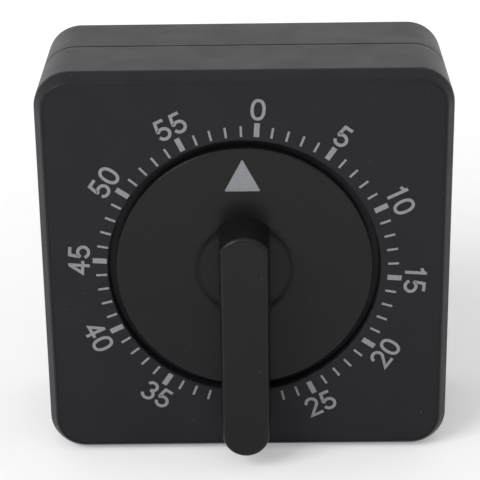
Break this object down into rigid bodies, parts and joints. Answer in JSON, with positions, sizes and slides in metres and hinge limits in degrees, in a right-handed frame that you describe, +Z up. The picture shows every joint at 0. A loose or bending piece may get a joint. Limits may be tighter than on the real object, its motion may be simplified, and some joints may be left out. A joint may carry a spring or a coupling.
{
  "type": "mechanical countdown timer",
  "caption": "Square black clockwork kitchen timer with a printed minute scale, a round dial, a long bar lever and a bell inside",
  "frame": {"origin": "middle of the bottom of the box around the timer, which stands on its bottom side", "axes": "+X to the right and +Z up as seen from the front; the dial faces -Y and turns about Y"},
  "size_m": [0.068, 0.0372, 0.068],
  "materials": {
    "case_plastic": "fine matte moulded",
    "dial_plastic": "satin moulded",
    "screw_steel": "zinc plated",
    "plate_steel": "pressed sheet",
    "arbor_steel": "turned",
    "spring_steel": "blued strip",
    "bell_steel": "plated",
    "brass": "stamped"
  },
  "bodies": {
    "case": {"front_shell": "case_plastic", "rear_shell": "case_plastic", "case_screws": "screw_steel", "front_plate": "plate_steel", "back_plate": "plate_steel", "plate_pillars": "brass", "pillar_screws": "screw_steel", "mount_screws": "screw_steel", "mainspring": "spring_steel", "spring_post": "arbor_steel", "bell": "bell_steel", "bell_screw": "screw_steel"},
    "dial": {"dial_plate": "dial_plastic", "dial_lever": "dial_plastic", "main_arbor": "arbor_steel", "main_wheel": "brass", "ratchet_wheel": "brass", "click": "plate_steel", "strike_cam": "plate_steel"},
    "second_arbor": {"second_wheel": "brass", "second_pinion": "arbor_steel"},
    "third_arbor": {"third_wheel": "brass", "third_pinion": "arbor_steel"},
    "escape_arbor": {"escape_wheel": "brass", "escape_pinion": "arbor_steel"},
    "pallet": {"pallet_arbor": "arbor_steel", "pallet_lever": "plate_steel", "pallet_pins": "arbor_steel", "balance_bar": "plate_steel"},
    "strike_arbor": {"strike_wheel": "brass", "strike_pinion": "arbor_steel"},
    "hammer": {"hammer_arbor": "arbor_steel", "hammer_arm": "plate_steel", "hammer_head": "brass"},
    "stop": {"stop_arbor": "arbor_steel", "stop_lever": "plate_steel"}
  },
  "joints": [
    {"name": "dial_turn", "type": "hinge", "parent": "case", "child": "dial", "pos_m": [-0.00025, 0, 0.034], "axis": [0, 1, 0], "range_deg": [0, 355]},
    {"name": "second_arbor_spin", "type": "hinge", "parent": "case", "child": "second_arbor", "pos_m": [-0.01716, 0, 0.02784], "axis": [0, 1, 0], "continuous": true},
    {"name": "third_arbor_spin", "type": "hinge", "parent": "case", "child": "third_arbor", "pos_m": [-0.01753, 0, 0.03904], "axis": [0, 1, 0], "continuous": true},
    {"name": "escape_arbor_spin", "type": "hinge", "parent": "case", "child": "escape_arbor", "pos_m": [-0.0117, 0, 0.04789], "axis": [0, 1, 0], "continuous": true},
    {"name": "strike_arbor_spin", "type": "hinge", "parent": "case", "child": "strike_arbor", "pos_m": [0.01354, 0, 0.02243], "axis": [0, 1, 0], "continuous": true},
    {"name": "pallet_swing", "type": "hinge", "parent": "case", "child": "pallet", "pos_m": [-0.00354, 0, 0.0517], "axis": [0, 1, 0], "range_deg": [-5, 5]},
    {"name": "hammer_swing", "type": "hinge", "parent": "case", "child": "hammer", "pos_m": [0.00596, 0, 0.01082], "axis": [0, -1, 0], "range_deg": [-12, 2.5], "stiffness_Nm_per_rad": 0.004},
    {"name": "stop_lever_swing", "type": "hinge", "parent": "case", "child": "stop", "pos_m": [-0.00491, 0, 0.01661], "axis": [0, 1, 0], "range_deg": [0, 7], "stiffness_Nm_per_rad": 0.002}
  ],
  "couplings": [
    {"joint": "second_arbor_spin", "follows": "dial_turn", "ratio": -8},
    {"joint": "third_arbor_spin", "follows": "dial_turn", "ratio": 48},
    {"joint": "escape_arbor_spin", "follows": "dial_turn", "ratio": -270},
    {"joint": "strike_arbor_spin", "follows": "dial_turn", "ratio": -8}
  ]
}
